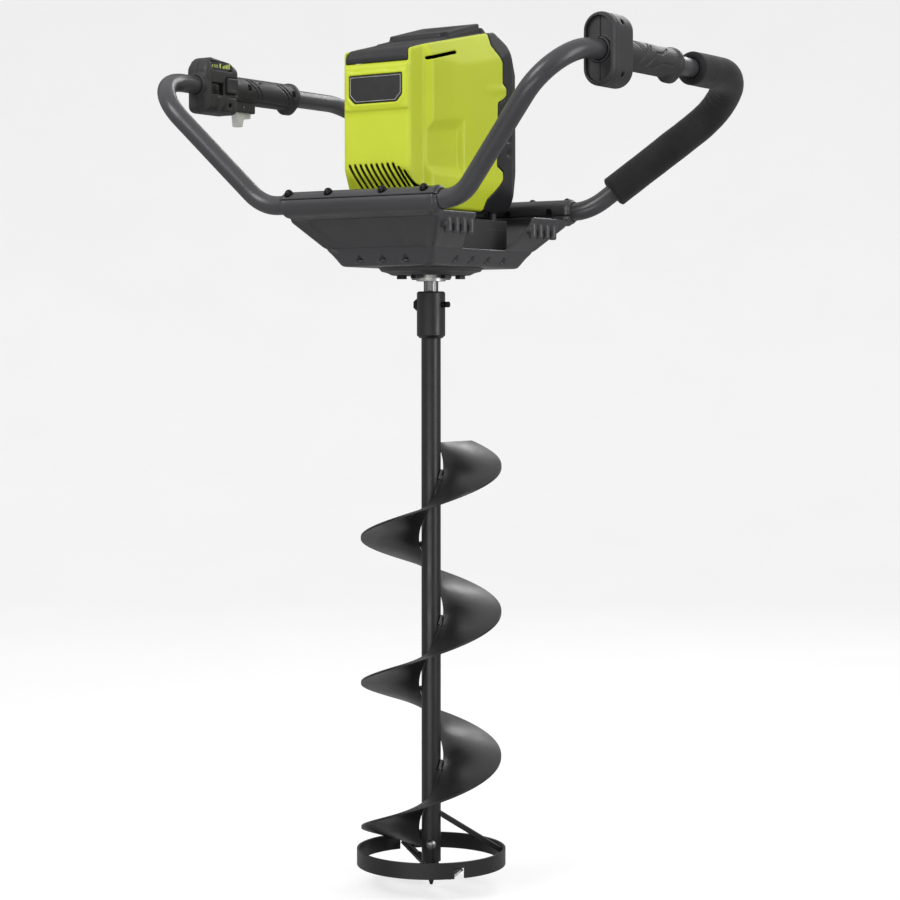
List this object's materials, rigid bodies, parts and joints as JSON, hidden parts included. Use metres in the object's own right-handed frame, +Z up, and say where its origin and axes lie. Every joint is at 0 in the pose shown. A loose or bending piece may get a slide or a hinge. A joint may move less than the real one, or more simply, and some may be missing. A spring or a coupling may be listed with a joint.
{
  "type": "ice fishing auger",
  "caption": "Hand-held electric ice auger: battery powerhead in a two-loop handle frame, gearbox, and a detachable helical drill bit with a cutting ring.",
  "frame": {"origin": "tip of the centre point, on the drive axis", "axes": "+Z up along the drive axis from the tip to the powerhead, -Y the badge side, +Y the battery side, +X towards the handle loop with the foam sleeve"},
  "size_m": [0.713, 0.5016, 1.1892],
  "materials": {
    "shell_lime": "fine textured moulding",
    "black_plastic": "fine textured moulding",
    "grip_plastic": "soft textured moulding",
    "tray_plastic": "satin moulding",
    "frame_tube": "satin powder coat",
    "bit_black": "satin powder coat",
    "blade_steel": "ground edge",
    "dark_screw": "black oxide",
    "case_black": "cast, painted",
    "zinc_plate": "turned",
    "shaft_steel": "turned",
    "gear_steel": "cut",
    "bearing_steel": "polished",
    "lamination": "stacked sheet",
    "copper_wire": "enamelled wire",
    "seal_rubber": "smooth",
    "foam_black": "closed-cell foam",
    "board_green": "solder mask",
    "trigger_grey": "moulded",
    "display_black": "glossy",
    "badge_black": "satin",
    "cable_black": "smooth",
    "spring_steel": "bright",
    "metal_can": "painted"
  },
  "bodies": {
    "powerhead": {"output_bearings": "bearing_steel", "small_bearings": "bearing_steel", "bearing_carrier": "case_black", "carrier_bolts": "dark_screw", "retainer_plate": "zinc_plate", "shaft_seal": "seal_rubber", "gear_case": "case_black", "gear_case_lid": "case_black", "gear_case_screws": "dark_screw", "motor_can": "metal_can", "motor_stator": "lamination", "stator_windings": "copper_wire", "support_tray": "tray_plastic", "tube_clamps": "tray_plastic", "clamp_screws": "dark_screw", "left_handle_tube": "frame_tube", "right_handle_tube": "frame_tube", "foam_sleeve": "foam_black", "control_cable": "cable_black", "front_shell": "shell_lime", "top_cover": "black_plastic", "rear_shell": "black_plastic", "badge_plate": "badge_black", "housing_screws": "dark_screw", "controller_board": "board_green", "control_handle_outer": "grip_plastic", "control_handle_inner": "grip_plastic", "handle_screws": "dark_screw", "display_window": "display_black", "trigger_guard": "grip_plastic", "trigger_pin": "shaft_steel", "trigger_spring": "spring_steel", "trigger_switch": "black_plastic", "right_guard_outer": "grip_plastic", "right_guard_inner": "grip_plastic", "right_grip": "grip_plastic"},
    "auger_bit": {"auger_shaft": "bit_black", "auger_flight": "bit_black", "flight_welds": "bit_black", "cutting_ring": "bit_black", "ring_strut": "bit_black", "blade_holders": "bit_black", "blades": "blade_steel", "blade_screws": "dark_screw", "centre_point": "bit_black", "point_bolt": "shaft_steel", "coupler_collar": "bit_black", "output_shaft": "shaft_steel", "output_gear": "gear_steel"},
    "coupler_pin": {"coupler_pin": "dark_screw"},
    "layshaft": {"countershaft": "gear_steel", "countershaft_gear": "gear_steel"},
    "rotor": {"motor_rotor": "lamination", "motor_pinion": "gear_steel", "cooling_fan": "black_plastic"},
    "throttle_trigger": {"throttle_trigger": "trigger_grey"},
    "direction_selector": {"direction_selector": "black_plastic"},
    "lock_off_button": {"lock_off_button": "grip_plastic"},
    "battery": {"battery_pack": "black_plastic"},
    "battery_latch": {"battery_latch": "trigger_grey"}
  },
  "joints": [
    {"name": "auger_spin", "type": "hinge", "parent": "powerhead", "child": "auger_bit", "pos_m": [0, 0, 0.86], "axis": [0, 0, 1], "continuous": true},
    {"name": "layshaft_spin", "type": "hinge", "parent": "powerhead", "child": "layshaft", "pos_m": [0, 0.06, 0.89], "axis": [0, 0, 1], "continuous": true},
    {"name": "rotor_spin", "type": "hinge", "parent": "powerhead", "child": "rotor", "pos_m": [0, 0.015, 0.95], "axis": [0, 0, 1], "continuous": true},
    {"name": "coupler_pin_pull", "type": "slide", "parent": "auger_bit", "child": "coupler_pin", "axis": [-1, 0, 0], "range_m": [0, 0.06]},
    {"name": "throttle_squeeze", "type": "hinge", "parent": "powerhead", "child": "throttle_trigger", "pos_m": [-0.326, -0.02, 1.089], "axis": [1, 0, 0], "range_deg": [0, 8], "stiffness_Nm_per_rad": 0.4, "springref_deg": -5.73, "deforming": ["trigger_spring"]},
    {"name": "lock_off_press", "type": "slide", "parent": "powerhead", "child": "lock_off_button", "axis": [-1, 0, 0], "range_m": [0, 0.003], "stiffness_N_per_m": 300, "springref_m": -0.002},
    {"name": "direction_select", "type": "slide", "parent": "powerhead", "child": "direction_selector", "axis": [0, 1, 0], "range_m": [0, 0.0075]},
    {"name": "battery_slide", "type": "slide", "parent": "powerhead", "child": "battery", "axis": [0, 1, 0], "range_m": [0, 0.12]},
    {"name": "battery_latch_press", "type": "slide", "parent": "battery", "child": "battery_latch", "axis": [0, 0, -1], "range_m": [0, 0.004], "stiffness_N_per_m": 300, "springref_m": -0.002}
  ],
  "couplings": [
    {"joint": "layshaft_spin", "follows": "auger_spin", "ratio": -3.6154},
    {"joint": "rotor_spin", "follows": "auger_spin", "ratio": 18.077}
  ]
}
